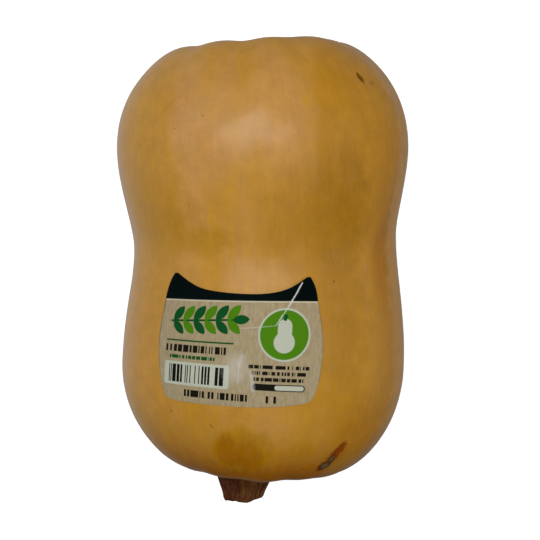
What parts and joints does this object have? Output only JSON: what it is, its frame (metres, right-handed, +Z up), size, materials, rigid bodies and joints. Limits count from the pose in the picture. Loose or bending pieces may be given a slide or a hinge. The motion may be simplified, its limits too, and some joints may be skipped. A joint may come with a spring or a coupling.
{
  "type": "butternut squash",
  "caption": "Whole butternut squash lying on its side, with a waisted fruit, a short cut woody stem and a wrapped paper label.",
  "frame": {"origin": "on the surface the squash lies on, under the middle of its overall box", "axes": "+Z up, +Y along the squash to its blossom end, the stem at -Y, +X across it to the right when it is seen from above with the stem towards the viewer"},
  "size_m": [0.1136, 0.1789, 0.1125],
  "materials": {
    "skin": "waxy tan rind with a soft sheen, streaked along its length",
    "stem_wood": "dry ridged stalk, rough where it was cut",
    "label_paper": "coated kraft-look paper, printed, creased where it wraps"
  },
  "bodies": {
    "root": {"fruit": "skin", "stem": "stem_wood", "label": "label_paper"}
  },
  "joints": []
}
